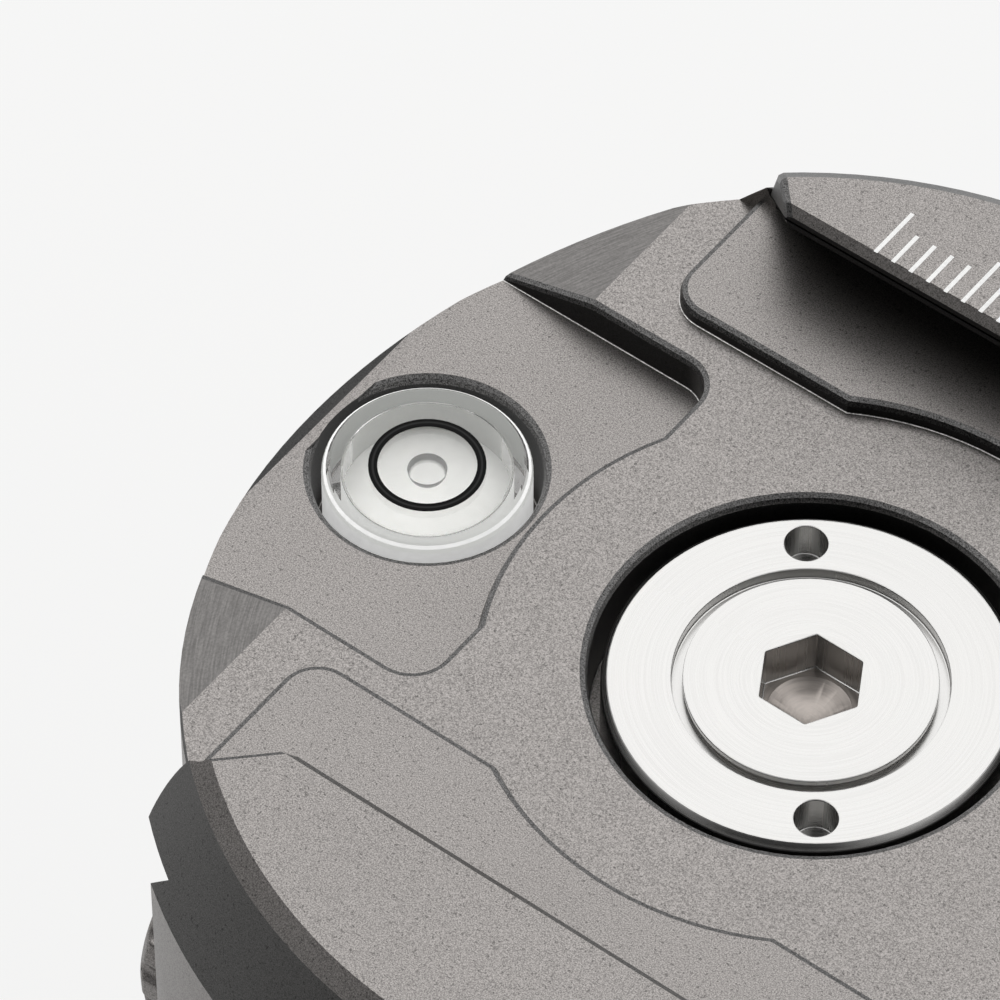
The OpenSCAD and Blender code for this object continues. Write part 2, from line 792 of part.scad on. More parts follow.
module clamp_body() {
    color(grey) difference() {
        intersection() {
            clamp_outside();
            union() {
                rod(clamp_d, clamp_z, floor_z);
                translate([0, 0, floor_z - over]) linear_extrude(pad_z - floor_z + over) difference() {
                    union() {
                        pad_outline();
                        mirror([0, 1]) pad_outline();
                    }
                    circle(d = landing_d);
                }
                jaw_blank(lip_y, lip_x);
            }
        }
        translate([-clamp_d, -clamp_d - cut_y, clamp_z - over]) cube([2 * clamp_d, clamp_d, clamp_d]);
        pocket();
        end_slopes();
        rod(recess_d, recess_z, jaw_z);
        rod(journal_d + 2 * run_gap, clamp_z - over, jaw_z);
        translate([-level_x, 0, 0]) rod(level_hole_d, vial_z, jaw_z);
        to_clamp_screw() rod(clamp_screw_d + 2 * run_gap, screw_bore_end, clamp_r);
        at_pins() rod(pin_d + 2 * run_gap, pin_in - free_gap, clamp_r);
        at_pins() rod(spring_d + spring_wire + free_gap, spring_seat, clamp_r);
    }
}

module guide_pins() {
    color(steel) at_pins() rod(pin_d, pin_in + jaw_open, pin_out);
}

module movable_jaw() {
    color(grey) difference() {
        translate([0, -jaw_open, 0]) mirror([0, 1, 0]) difference() {
            intersection() {
                clamp_outside();
                jaw_blank(near_lip_y, near_lip_x);
                translate([0, 0, clamp_z - over]) linear_extrude(jaw_z - clamp_z + 2 * over)
                    jaw_ends(near_lip_y + undercut);
            }
            translate([-clamp_d, foot_y - clamp_d, pad_z + face_gap - clamp_d])
                cube([2 * clamp_d, clamp_d, clamp_d]);
        }
        to_clamp_screw() rod(spot_d, washer_y, clamp_d);
        to_clamp_screw() rod(clamp_screw_d + free_gap, cut_y, clamp_d);
        at_pins() rod(pin_d + 2 * press_gap, cut_y, pin_out);
    }
}

module jaw_washer() {
    color(steel) to_clamp_screw() translate([0, 0, washer_y])
        ring(clamp_knob_d / 2 - web, clamp_screw_d / 2 + free_gap / 2, knob_washer_t - face_gap);
}

module clamp_screw() {
    color(steel) to_clamp_screw()
        rod(clamp_screw_d, clamp_screw_end, clamp_knob_y + cored_bore(clamp_knob_l));
}

module at_clamp_knob() to_clamp_screw() translate([0, 0, clamp_knob_y]) children();

module clamp_knob_core() {
    color(grey) at_clamp_knob() knob_core(clamp_knob_d, clamp_knob_l, clamp_screw_d);
}

module clamp_knob_grip() {
    color(rubber) at_clamp_knob() knob_grip(clamp_knob_d, clamp_knob_l, clamp_ribs);
}

module clamp_knob_cap() {
    color(grey) at_clamp_knob() knob_cap(clamp_knob_d, clamp_knob_l);
}

// Springs: one unbroken tube each, along a helix round its guide pin

spring_rings = 8;
spring_sides = 6;
spring_in = spring_seat + spring_wire / 2 + face_gap;
spring_out = foot_rest - spring_wire / 2 - face_gap;
spring_pitch = (spring_out - spring_in) / spring_turns;

function coil_centre(t) =
    [spring_d / 2 * cos(360 * t), spring_d / 2 * sin(360 * t), spring_in + spring_pitch * t];

function coil_point(t, side) =
    let (turn = 360 * t, around = 360 * side / spring_sides)
    coil_centre(t) + spring_wire / 2 * [cos(around) * cos(turn), cos(around) * sin(turn), sin(around)];

module coil() {
    steps = spring_turns * spring_rings;
    points = [for (i = [0 : steps]) for (s = [0 : spring_sides - 1]) coil_point(i / spring_rings, s)];
    walls = [for (i = [0 : steps - 1]) for (s = [0 : spring_sides - 1])
        let (a = i * spring_sides + s, b = i * spring_sides + (s + 1) % spring_sides)
        each [[a, a + spring_sides, b], [b, a + spring_sides, b + spring_sides]]];
    ends = [for (s = [1 : spring_sides - 2])
        each [[0, s, s + 1], [steps * spring_sides, steps * spring_sides + s + 1, steps * spring_sides + s]]];
    polyhedron(points, concat(walls, ends));
}

module jaw_springs() {
    color(steel) at_pins() coil();
}

// Least gap between a spring's curls, measured between points half a curl or more apart
coil_line = [for (i = [0 : spring_turns * spring_rings]) coil_centre(i / spring_rings)];
coil_gaps = [for (i = [0 : len(coil_line) - 1]) for (j = [i + spring_rings / 2 : 1 : len(coil_line) - 1])
    norm(coil_line[i] - coil_line[j]) - spring_wire];
echo(least_spring_gap = min(coil_gaps));

// Bubble level

module at_level(z) translate([-level_x, 0, vial_z + z]) children();

cavity_r = vial_d / 2 - vial_wall;
cavity_h = vial_h - vial_top;
level_base_t = 2.6;
level_ring_t = 0.05;

module level_vial() {
    r = vial_d / 2;
    color([0.85, 0.9, 0.85]) at_level(0) difference() {
        turned([[0, 0], [r, 0], [r, vial_h - small_bevel], [r - small_bevel, vial_h], [0, vial_h]]);
        rod(2 * cavity_r, -over, cavity_h);
    }
}

module level_base() {
    color("white") at_level(0) rod(2 * (cavity_r - press_gap), 0, level_base_t);
}

module level_ring() {
    color("black") at_level(vial_h) ring(ring_out_d / 2, ring_in_d / 2, level_ring_t);
}

module level_liquid() {
    top = cavity_h - press_gap;
    color([0.8, 0.9, 0.7]) difference() {
        at_level(0) rod(2 * (cavity_r - press_gap), level_base_t + press_gap, top);
        at_level(top) sphere(d = bubble_d);
    }
}

base_plate();
tripod_bushing();
pan_washer();
pan_retainer();
retainer_screws();
housing();
housing_floor();
floor_screws();
lock_block();
lock_bushing();
ball_seat();
lock_plunger();
lock_spindle();
lock_knob_core();
lock_knob_grip();
lock_knob_cap();
friction_pad();
friction_spindle();
friction_knob();
pan_lock_pad();
pan_lock_spindle();
pan_lock_knob();
ball();
retaining_disc();
stem_screw();
clamp_body();
guide_pins();
jaw_springs();
level_vial();
level_liquid();
level_ring();
level_base();
movable_jaw();
jaw_washer();
clamp_screw();
clamp_knob_core();
clamp_knob_grip();
clamp_knob_cap();
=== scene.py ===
"""Ball head with a round dovetail clamp: camera, studio, finishes and the dressed pieces."""
import json
import math

import bmesh
import bpy
from mathutils import Matrix, Vector


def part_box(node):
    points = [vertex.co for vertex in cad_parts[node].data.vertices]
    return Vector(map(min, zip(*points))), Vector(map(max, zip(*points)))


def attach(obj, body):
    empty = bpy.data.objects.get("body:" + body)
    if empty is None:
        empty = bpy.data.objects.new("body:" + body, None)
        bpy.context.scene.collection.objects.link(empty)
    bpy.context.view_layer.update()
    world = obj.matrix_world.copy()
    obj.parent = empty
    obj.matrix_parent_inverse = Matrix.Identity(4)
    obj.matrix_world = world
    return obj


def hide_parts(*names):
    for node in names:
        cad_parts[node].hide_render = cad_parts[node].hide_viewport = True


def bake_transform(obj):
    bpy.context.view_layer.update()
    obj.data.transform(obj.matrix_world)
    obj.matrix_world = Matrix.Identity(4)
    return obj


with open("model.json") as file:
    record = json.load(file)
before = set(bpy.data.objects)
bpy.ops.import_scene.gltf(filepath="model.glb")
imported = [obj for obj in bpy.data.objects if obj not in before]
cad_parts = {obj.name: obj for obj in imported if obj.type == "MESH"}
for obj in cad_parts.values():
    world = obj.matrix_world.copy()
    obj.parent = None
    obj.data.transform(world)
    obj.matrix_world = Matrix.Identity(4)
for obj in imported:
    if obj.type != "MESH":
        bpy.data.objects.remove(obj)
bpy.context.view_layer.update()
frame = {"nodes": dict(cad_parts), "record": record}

MM = 0.001
nodes = frame["nodes"]
scene = bpy.context.scene
scene.view_settings.view_transform = "Standard"

# Heights and places that the solids give, in metres
JAW_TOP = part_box("clamp_body")[1].z
DISC_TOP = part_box("retaining_disc")[1].z
VIAL_LOW, VIAL_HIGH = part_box("level_vial")
VIAL_X = (VIAL_LOW.x + VIAL_HIGH.x) / 2


def linked(name, data):
    """A new object of that data, in the scene."""
    made = bpy.data.objects.new(name, data)
    scene.collection.objects.link(made)
    return made


# Camera: lens and sensor in millimetres, place and axes in the object's frame

LENS, SENSOR = 278.8, 36.0
CLIP_NEAR, CLIP_FAR = 0.01, 20.0
CAMERA_PLACE = (0.12046, -0.17954, DISC_TOP + 0.28025)
CAMERA_RIGHT = Vector((0.7920, 0.6105, 0.0))
CAMERA_UP = Vector((-0.4750, 0.6163, 0.6281))
CAMERA_BACK = Vector((0.3835, -0.4975, 0.7781))


def make_camera():
    data = bpy.data.cameras.new("camera")
    data.lens, data.sensor_width = LENS, SENSOR
    data.clip_start, data.clip_end = CLIP_NEAR, CLIP_FAR
    camera = linked("camera", data)
    turn = Matrix((CAMERA_RIGHT, CAMERA_UP, CAMERA_BACK)).transposed().to_4x4()
    camera.matrix_world = Matrix.Translation(CAMERA_PLACE) @ turn
    scene.camera = camera


# Node trees

def empty_tree(owner):
    """The node tree of a material or a world, with nothing in it."""
    owner.use_nodes = True
    owner.node_tree.nodes.clear()
    return owner.node_tree


def feed(tree, socket, value):
    """Links a socket to the one that is given, or sets it to a number or a colour."""
    if isinstance(value, bpy.types.NodeSocket):
        tree.links.new(value, socket)
    else:
        socket.default_value = value


def fill(tree, sockets, **values):
    for key, value in values.items():
        feed(tree, sockets[key.replace("_", " ")], value)


def add(tree, kind, settings=None, **values):
    """A node of that kind, with its settings and with values for its inputs by name."""
    made = tree.nodes.new(kind)
    for key, value in (settings or {}).items():
        setattr(made, key, value)
    fill(tree, made.inputs, **values)
    return made


def worked(tree, kind, operation, terms):
    made = add(tree, kind, {"operation": operation})
    for place, term in enumerate(terms):
        feed(tree, made.inputs[place], term)
    return made.outputs


def sums(tree, operation, *terms):
    return worked(tree, "ShaderNodeMath", operation, terms)[0]


def vectors(tree, operation, *terms):
    return worked(tree, "ShaderNodeVectorMath", operation, terms)


def scaled(tree, colour, factor):
    made = add(tree, "ShaderNodeVectorMath", {"operation": "SCALE"}, Scale=factor)
    feed(tree, made.inputs[0], colour)
    return made.outputs[0]


def span(tree, value, source, target):
    """A value taken from one range to another, and held at its ends."""
    (low, high), (to_low, to_high) = source, target
    return add(tree, "ShaderNodeMapRange", Value=value, From_Min=low, From_Max=high,
               To_Min=to_low, To_Max=to_high).outputs["Result"]


def mixed(tree, share, first, second):
    """Two colours mixed, at the places that a Mix node has for them."""
    made = add(tree, "ShaderNodeMix", {"data_type": "RGBA"})
    for place, value in ((0, share), (6, first), (7, second)):
        feed(tree, made.inputs[place], value)
    return made.outputs[2]


def mixed_shaders(tree, share, first, second):
    both = add(tree, "ShaderNodeMixShader", Fac=share)
    tree.links.new(first.outputs[0], both.inputs[1])
    tree.links.new(second.outputs[0], both.inputs[2])
    return both.outputs[0]


def object_place(tree):
    return add(tree, "ShaderNodeTexCoord").outputs["Object"]


def place_in(tree, centre=(0, 0, 0), turn=(0, 0, 0)):
    """Object coordinates, moved and turned so that a pattern is centred on a piece."""
    return add(tree, "ShaderNodeMapping", {"vector_type": "TEXTURE"}, Vector=object_place(tree),
               Location=centre, Rotation=turn).outputs[0]


def across_axis(tree, place):
    """Distance of a place from its Z axis."""
    flat = vectors(tree, "MULTIPLY", place, (1.0, 1.0, 0.0))["Vector"]
    return vectors(tree, "LENGTH", flat)["Value"]


def noise(tree, place, scale, detail, roughness=0.5, dimensions="3D"):
    return add(tree, "ShaderNodeTexNoise", {"noise_dimensions": dimensions}, Vector=place, Scale=scale,
               Detail=detail, Roughness=roughness).outputs["Fac"]


def bumped(tree, height, strength, distance):
    return add(tree, "ShaderNodeBump", Height=height, Strength=strength, Distance=distance).outputs[0]


def new_group(name, kind, inputs, outputs):
    """An empty group with named sockets: (tree, what it is given, what it puts out)."""
    tree = bpy.data.node_groups.new(name, kind)
    for label, socket, value in inputs:
        made = tree.interface.new_socket(label, in_out="INPUT", socket_type=socket)
        if value is not None:
            made.default_value = value
    for label, socket in outputs:
        tree.interface.new_socket(label, in_out="OUTPUT", socket_type=socket)
    source = tree.nodes.new("NodeGroupInput")
    sink = tree.nodes.new("NodeGroupOutput")
    return tree, source.outputs, sink.inputs


COLOUR, NUMBER, VECTOR = "NodeSocketColor", "NodeSocketFloat", "NodeSocketVector"
COUNT, MESH, FINISH = "NodeSocketInt", "NodeSocketGeometry", "NodeSocketMaterial"


# Effects that several finishes share

# Parts of a noise's range: what most of it fills, what the grit fills, and the few spots that are pits
NOISE_RANGE = (0.3, 0.7)
GRIT_RANGE = (0.36, 0.64)
PIT_RANGE = (0.64, 0.72)
CLOUD_SCALE = 140.0
CLOUD_SHADES = (0.95, 1.05)
PIT_SCALE = 0.4
STREAK_SCALE = 700.0


def blasted_group():
    """Fine speckle of bead-blasted metal, with slow clouds over it."""
    tree, given, out = new_group(
        "blasted", "ShaderNodeTree",
        [("Colour", COLOUR, None), ("Speckle", NUMBER, 0.2), ("Grain", NUMBER, 8000.0),
         ("Rough", NUMBER, 0.45), ("Rough spread", NUMBER, 0.045), ("Pits", NUMBER, 0.0)],
        [("Colour", COLOUR), ("Roughness", NUMBER), ("Height", NUMBER)])
    place = object_place(tree)
    fine = noise(tree, place, given["Grain"], detail=3.0, roughness=0.7)
    slow = noise(tree, place, CLOUD_SCALE, detail=3.0)
    spots = noise(tree, place, sums(tree, "MULTIPLY", given["Grain"], PIT_SCALE), detail=1.0)
    darkest = sums(tree, "SUBTRACT", 1.0, given["Speckle"])
    palest = sums(tree, "ADD", 1.0, given["Speckle"])
    grit = span(tree, fine, GRIT_RANGE, (darkest, palest))
    pit = span(tree, spots, PIT_RANGE, (1.0, sums(tree, "SUBTRACT", 1.0, given["Pits"])))
    cloud = span(tree, slow, NOISE_RANGE, CLOUD_SHADES)
    shade = sums(tree, "MULTIPLY", sums(tree, "MULTIPLY", grit, pit), cloud)
    shift = span(tree, slow, NOISE_RANGE, (-1.0, 1.0))
    rough = sums(tree, "MULTIPLY_ADD", shift, given["Rough spread"], given["Rough"])
    fill(tree, out, Colour=scaled(tree, given["Colour"], shade), Roughness=rough, Height=fine)
    return tree


def turned_group():
    """Concentric marks of a lathe tool round the Z axis of the given place."""
    tree, given, out = new_group(
        "turned", "ShaderNodeTree",
        [("Place", VECTOR, None), ("Fineness", NUMBER, 9000.0), ("Drift", NUMBER, 0.7)],
        [("Mark", NUMBER)])
    apart = add(tree, "ShaderNodeSeparateXYZ", Vector=given["Place"]).outputs
    across = sums(tree, "MULTIPLY", across_axis(tree, given["Place"]), given["Fineness"])
    round_it = sums(tree, "MULTIPLY", sums(tree, "ARCTAN2", apart["Y"], apart["X"]), given["Drift"])
    point = add(tree, "ShaderNodeCombineXYZ", X=across, Y=round_it).outputs[0]
    fill(tree, out, Mark=noise(tree, point, 1.0, detail=3.0, roughness=0.65, dimensions="2D"))
    return tree


def milled_group():
    """Bowed marks of a milling cutter: fine across, long along."""
    tree, given, out = new_group(
        "milled", "ShaderNodeTree",
        [("Place", VECTOR, None), ("Fineness", NUMBER, 9000.0), ("Length", NUMBER, 600.0),
         ("Curve", NUMBER, -20.0)],
        [("Mark", NUMBER)])
    apart = add(tree, "ShaderNodeSeparateXYZ", Vector=given["Place"]).outputs
    bow = sums(tree, "MULTIPLY", sums(tree, "POWER", apart["Y"], 2.0), given["Curve"])
    across = sums(tree, "MULTIPLY", sums(tree, "ADD", apart["X"], bow), given["Fineness"])
    along = sums(tree, "MULTIPLY", apart["Y"], given["Length"])
    point = add(tree, "ShaderNodeCombineXYZ", X=across, Y=along).outputs[0]
    fill(tree, out, Mark=noise(tree, point, 1.0, detail=2.0, roughness=0.6, dimensions="2D"))
    return tree


BLASTED = blasted_group()
TURNED = turned_group()
MILLED = milled_group()


# Finishes

def new_finish(name):
    """A finish with one shader: (material, tree, the shader's inputs)."""
    finish = bpy.data.materials.new(name)
    tree = empty_tree(finish)
    shader = tree.nodes.new("ShaderNodeBsdfPrincipled")
    add(tree, "ShaderNodeOutputMaterial", Surface=shader.outputs[0])
    return finish, tree, shader.inputs


def see_through(tree, share):
    """Mixes the shader with plain transparency, by that share."""
    shader = next(node for node in tree.nodes if node.type == "BSDF_PRINCIPLED")
    result = next(node for node in tree.nodes if node.type == "OUTPUT_MATERIAL")
    hole = tree.nodes.new("ShaderNodeBsdfTransparent")
    fill(tree, result.inputs, Surface=mixed_shaders(tree, share, shader, hole))


def speckled(tree, colour, **values):
    """The blasted effect on that colour, as what it puts out."""
    return add(tree, "ShaderNodeGroup", {"node_tree": BLASTED}, Colour=(*colour, 1.0), **values).outputs


def blasted(name, colour, metallic, speckle, grain, rough):
    finish, tree, shader = new_finish(name)
    effect = speckled(tree, colour, Speckle=speckle, Grain=grain, Rough=rough, Pits=0.45)
    fill(tree, shader, Base_Color=effect["Colour"], Roughness=effect["Roughness"], Metallic=metallic,
         Normal=bumped(tree, effect["Height"], strength=0.25, distance=0.02 * MM))
    return finish


def turned_metal(name, colour, rough, fineness, depth=0.08, bump=0.15, turn=(0, 0, 0)):
    finish, tree, shader = new_finish(name)
    mark = add(tree, "ShaderNodeGroup", {"node_tree": TURNED}, Place=place_in(tree, turn=turn),
               Fineness=fineness).outputs["Mark"]
    shade = span(tree, mark, NOISE_RANGE, (1 - depth, 1 + depth))
    fill(tree, shader, Base_Color=scaled(tree, colour, shade), Metallic=1.0,
         Roughness=span(tree, mark, NOISE_RANGE, (rough - 0.05, rough + 0.07)),
         Normal=bumped(tree, mark, bump, distance=0.006 * MM))
    return finish


def milled_metal(name, colour, metallic, rough):
    finish, tree, shader = new_finish(name)
    mark = add(tree, "ShaderNodeGroup", {"node_tree": MILLED}, Place=object_place(tree)).outputs["Mark"]
    effect = speckled(tree, colour, Speckle=0.14, Grain=7000.0, Rough=rough)
    shade = span(tree, mark, NOISE_RANGE, (0.8, 1.2))
    fill(tree, shader, Base_Color=scaled(tree, effect["Colour"], shade), Metallic=metallic,
         Roughness=effect["Roughness"],
         Normal=bumped(tree, mark, strength=0.2, distance=0.01 * MM))
    return finish


def matt(name, colour, rough, grain, speckle, bump):
    """Speckled plastic, rubber or paint."""
    finish, tree, shader = new_finish(name)
    effect = speckled(tree, colour, Speckle=speckle, Grain=grain, Rough=rough)
    fill(tree, shader, Base_Color=effect["Colour"], Roughness=effect["Roughness"],
         Normal=bumped(tree, effect["Height"], bump, distance=0.03 * MM))
    return finish


def painted_glow_wall(name, outside, inside, painted_glow):
    """Wall of the vial, seen from outside or through the clear plastic; the colours of its two sides are
    set apart as painted light and shade, and its glow of that colour is painted light.
    """
    finish, tree, shader = new_finish(name)
    effect = speckled(tree, outside, Speckle=0.05, Grain=2500.0, Rough=0.4)
    through = add(tree, "ShaderNodeNewGeometry").outputs["Backfacing"]
    colour = mixed(tree, through, effect["Colour"], (*inside, 1.0))
    fill(tree, shader, Base_Color=colour, Emission_Color=colour, Emission_Strength=painted_glow,
         Roughness=effect["Roughness"])
    return finish


def clear(name, colour, ior):
    """Clear stuff with slow streaks, which casts no shadow."""
    finish, tree, shader = new_finish(name)
    streak = noise(tree, object_place(tree), STREAK_SCALE, detail=2.0)
    fill(tree, shader, Base_Color=(*colour, 1.0), Transmission_Weight=1.0, IOR=ior,
         Roughness=span(tree, streak, NOISE_RANGE, (0.01, 0.05)))
    see_through(tree, add(tree, "ShaderNodeLightPath").outputs["Is Shadow Ray"])
    return finish


def bubble(name, colour, centre, radius):
    """Skin of the bubble: clear in the middle, grey towards its rim, which is painted shade."""
    finish, tree, shader = new_finish(name)
    across = across_axis(tree, place_in(tree, centre))
    rim = span(tree, across, (0.82 * radius, 0.93 * radius), (0.0, 1.0))
    fill(tree, shader, Base_Color=(*colour, 1.0), Roughness=span(tree, rim, (0.0, 1.0), (0.1, 0.35)))
    see_through(tree, span(tree, rim, (0.0, 1.0), (0.95, 0.1)))
    return finish


def ring_with_painted_reflection(name, colour, line, centre, radius, width):
    """Printed ring with a paler line along its middle, which is a painted reflection."""
    finish, tree, shader = new_finish(name)
    across = across_axis(tree, place_in(tree, centre))
    off = sums(tree, "ABSOLUTE", sums(tree, "SUBTRACT", across, radius))
    reflection_mask = span(tree, off, (0.3 * width, 0.7 * width), (1.0, 0.0))
    fill(tree, shader, Base_Color=mixed(tree, reflection_mask, (*colour, 1.0), (*line, 1.0)), Roughness=0.8,
         Specular_IOR_Level=0.1)
    return finish


LYING = (math.radians(90), 0, 0)
LEVEL_MIDDLE = (VIAL_X, 0, 0)

# Colour, metallic, speckle, grains to the metre, roughness
anodised = blasted("anodised_grey", (0.245, 0.231, 0.222), 0.92, 0.5, 15000.0, 0.37)
# Broken edges and half-up facets of the clamp: a darker copy of its anodised grey, painted shade
edge_painted_shade = blasted("edge_painted_shade", (0.095, 0.093, 0.092), 0.9, 0.8, 14000.0, 0.34)
# Walls, undercuts and the wall under the fixed lip: a near-black copy of the anodised grey, painted shade
wall_painted_shade = blasted("wall_painted_shade", (0.036, 0.0355, 0.035), 0.9, 0.4, 16000.0, 0.42)
# Flanks of the jaws: a darker copy of the anodised grey, painted shade
flank_painted_shade = blasted("flank_painted_shade", (0.105, 0.103, 0.101), 0.9, 0.4, 18000.0, 0.4)
# Fillets at the foot of walls: a paler copy of the anodised grey, painted highlight
root_painted_highlight = blasted("root_painted_highlight", (0.46, 0.45, 0.44), 0.95, 0.4, 9000.0, 0.3)
# Colour, metallic, roughness
# Slopes: real cutter marks on a darker copy of the anodised grey, which is painted shade
milled_slope_painted_shade = milled_metal("milled_slope_painted_shade", (0.14, 0.134, 0.130), 0.9, 0.34)
# Colour, roughness, marks to the metre
ball_black = turned_metal("ball_black", (0.045, 0.045, 0.048), 0.18, 3000.0, depth=0.15, bump=0.05)
stainless = turned_metal("stainless", (0.535, 0.53, 0.52), 0.26, 9000.0, depth=0.05, bump=0.08)
# Bottom of the hex socket: darker than the screw's stainless, painted shade in the recess
socket_painted_shade = turned_metal("socket_painted_shade", (0.39, 0.354, 0.328), 0.34, 5000.0, depth=0.2, bump=0.1)
plated = turned_metal("plated_steel", (0.50, 0.50, 0.49), 0.3, 5000.0, turn=LYING)
brass = turned_metal("turned_brass", (0.72, 0.53, 0.24), 0.3, 6000.0)
# Colour, roughness, grains to the metre, speckle, bump
rubber = matt("grip_rubber", (0.022, 0.022, 0.023), 0.72, 3500.0, 0.25, 0.4)
plastic = matt("pale_plastic", (0.74, 0.73, 0.69), 0.5, 1500.0, 0.05, 0.1)
level_white = matt("level_white", (0.93, 0.93, 0.915), 0.45, 1500.0, 0.03, 0.05)
tick_white = matt("tick_white", (0.95, 0.95, 0.94), 0.5, 9000.0, 0.08, 0.2)
# Bubble level
# The paler line along the ring's middle is a painted reflection
ring_black = ring_with_painted_reflection("ring_black", (0.006, 0.006, 0.006), (0.03, 0.03, 0.03), LEVEL_MIDDLE,
                        radius=2.57 * MM, width=0.1 * MM)
vial_clear = clear("vial_clear", (0.995, 0.995, 0.99), ior=1.49)
# Cup and rim of the vial: their two sides' colours are painted light and shade, and their glow is painted
# light
vial_cup_painted_glow = painted_glow_wall("vial_cup_painted_glow", (0.32, 0.325, 0.31), (0.94, 0.94, 0.93), painted_glow=0.32)
vial_rim_painted_glow = painted_glow_wall("vial_rim_painted_glow", (0.9, 0.9, 0.89), (0.23, 0.235, 0.225), painted_glow=0.5)
vial_liquid = clear("vial_liquid", (0.99, 0.99, 0.98), ior=1.05)
# The grey towards the bubble's rim is painted shade
bubble_rim_painted_shade = bubble("bubble_rim_painted_shade", (0.08, 0.08, 0.075), LEVEL_MIDDLE, radius=0.95 * MM)

FINISH_OF_SLOT = {
    "anodised_grey": anodised, "ball_black": ball_black, "stainless": stainless, "steel": plated,
    "brass": brass, "grip_rubber": rubber, "pale_plastic": plastic, "vial_clear": vial_clear,
    "vial_liquid": vial_liquid, "ring_black": ring_black, "level_white": level_white,
}
SLOT_OF_NODE = {part["node"]: part["material_slot"] for part in frame["record"]["subparts"]}
BODIES = frame["record"]["behaviour"]["bodies"]
BODY_OF_NODE = {node: body for body, held in BODIES.items() for node in held}


def dress_nodes():
    for name, piece in nodes.items():
        piece.data.materials.clear()
        piece.data.materials.append(FINISH_OF_SLOT[SLOT_OF_NODE[name]])


# Pieces with broken edges

SAME_POINT = 0.002 * MM
TINY_EDGE = 0.01 * MM
FLAT_ANGLE = 0.4
SHADED_ANGLE = 11.0


def finished_copy(node, width, angle=33.0, reach=None, root=None, finishes=(None,), sort=None,
                  partings=()):
    """A node's shape with its sharp edges broken and, with a root width, its sharp corners filled.

    Both go out to that reach from the Z axis. Of the finishes the first is for the edges, the second
    for the corners, and sort(normal, centre) names the place in the list of a face that has one of
    its own. None stands for the node's own finish. Each parting is a place along X and a test of the
    faces that are cut there, so that a finish can end.
    """
    shape = merged_shape(node)
    chosen = [line for line in shape.edges if is_sharp(line, angle) and within(line, reach)]
    if root:
        corners = [line for line in chosen if not line.is_convex]
        break_edges(shape, corners, root, ROOT)
        chosen = [line for line in chosen if line.is_valid and line.is_convex]
    break_edges(shape, chosen, width, EDGE)
    shape.normal_update()
    for along, is_parted in partings:
        part_faces(shape, along, is_parted)
    for face in shape.faces:
        face.smooth = True
        if sort and face.material_index == MAIN:
            face.material_index = sort(face.normal, face.calc_center_median())
    for line in shape.edges:
        line.smooth = not is_sharp(line, SHADED_ANGLE)
    made = bpy.data.meshes.new(node + "_finished")
    shape.to_mesh(made)
    shape.free()
    own = FINISH_OF_SLOT[SLOT_OF_NODE[node]]
    for finish in (own, *finishes):
        made.materials.append(finish or own)
    piece = linked(node + "_finished", made)
    even = piece.modifiers.new("even_shading", "WEIGHTED_NORMAL")
    even.keep_sharp = True
    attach(piece, BODY_OF_NODE[node])
    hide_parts(node)


def merged_shape(node):
    """A node's loose triangles, merged into whole faces."""
    shape = bmesh.new()
    shape.from_mesh(nodes[node].data)
    bmesh.ops.remove_doubles(shape, verts=shape.verts, dist=SAME_POINT)
    bmesh.ops.dissolve_degenerate(shape, edges=shape.edges, dist=TINY_EDGE)
    bmesh.ops.dissolve_limit(shape, angle_limit=math.radians(FLAT_ANGLE), verts=shape.verts,
                             edges=shape.edges)
    return shape


def is_sharp(line, angle):
    return len(line.link_faces) == 2 and line.calc_face_angle(0.0) > math.radians(angle)


def within(line, reach):
    return reach is None or any(corner.co.xy.length < reach for corner in line.verts)


def break_edges(shape, lines, width, place):
    bmesh.ops.bevel(shape, geom=lines, offset=width, offset_type="OFFSET", segments=2, profile=0.5,
                    affect="EDGES", clamp_overlap=False, material=place, miter_outer="ARC",
                    spread=0.1 * MM)


def part_faces(shape, along, is_parted):
    faces = [face for face in shape.faces if is_parted(face.normal, face.calc_center_median())]
    lines = {line for face in faces for line in face.edges}
    corners = {corner for face in faces for corner in face.verts}
    bmesh.ops.bisect_plane(shape, geom=[*faces, *lines, *corners], dist=0.001 * MM,
                           plane_co=(along, 0.0, 0.0), plane_no=(1.0, 0.0, 0.0))


# Places in a copy's list of finishes: the clamp's, the vial's, the liquid's and the screw's
# On the clamp, EDGE, SLOPE, WALL and FLANK hold darker copies of its grey, painted shade, and ROOT a paler
# one, painted highlight
MAIN, EDGE, ROOT, SLOPE, WALL, FLANK = range(6)
CUP, RIM = 3, 4
SKIN = 3
SOCKET = 3

# The clamp's slopes, how far along Y the one beside the level goes, and where the painted shade on its rim
# starts
SLOPE_LEAN = math.sin(math.radians(18))
LEVEL_SIDE = 8 * MM
PAINTED_SHADE_RIM = -28.15 * MM
# The wall under the fixed lip, which takes painted shade there, and where it comes out past the lip's
# ends, where it keeps the plain grey
LIP_WALL = 20 * MM
LIP_END = 17.5 * MM
# Outward faces beyond these distances from the axis are the outside of the body and of the jaw
BODY_OUTSIDE, JAW_OUTSIDE = 27 * MM, 25 * MM
JAW_SIDE = -15 * MM
# How far up a face looks, by the Z of its normal: up to a wall's, and from a flank's to a broken edge's
UPRIGHT = 0.2
FLANK_LOW, EDGE_LOW, EDGE_HIGH = 0.3, 0.6, 0.95


def is_slope(normal, centre):
    return abs(abs(normal.x) - SLOPE_LEAN) < 0.02 and abs(normal.y) < 0.02


def is_under_lip(normal, centre):
    return normal.y < -0.999 and centre.y > LIP_WALL


def is_lip_edge(normal, centre):
    return normal.y < -0.5 and centre.y > 0 and centre.z > JAW_TOP - MM


